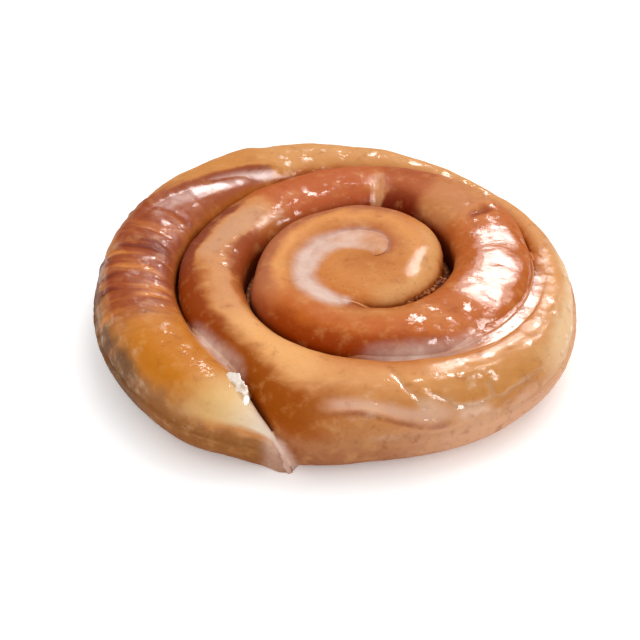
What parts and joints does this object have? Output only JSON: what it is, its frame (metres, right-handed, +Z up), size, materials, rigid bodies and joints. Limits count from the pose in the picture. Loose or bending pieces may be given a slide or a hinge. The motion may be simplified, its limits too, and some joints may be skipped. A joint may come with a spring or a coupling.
{
  "type": "cinnamon roll",
  "caption": "Glazed cinnamon roll: a strip of dough wound into a flat coil with cinnamon filling rolled up between its turns.",
  "frame": {"origin": "middle of the roll's base, on the surface it rests on", "axes": "+Z up, -Y towards the side where the coil's tail ends, +X to the right seen from there"},
  "size_m": [0.1162, 0.115, 0.0215],
  "materials": {
    "glazed_dough": "baked golden brown under clear sugar glaze",
    "cinnamon": "crumbly brown spice and sugar"
  },
  "bodies": {
    "root": {"dough": "glazed_dough", "cinnamon_filling": "cinnamon"}
  },
  "joints": []
}
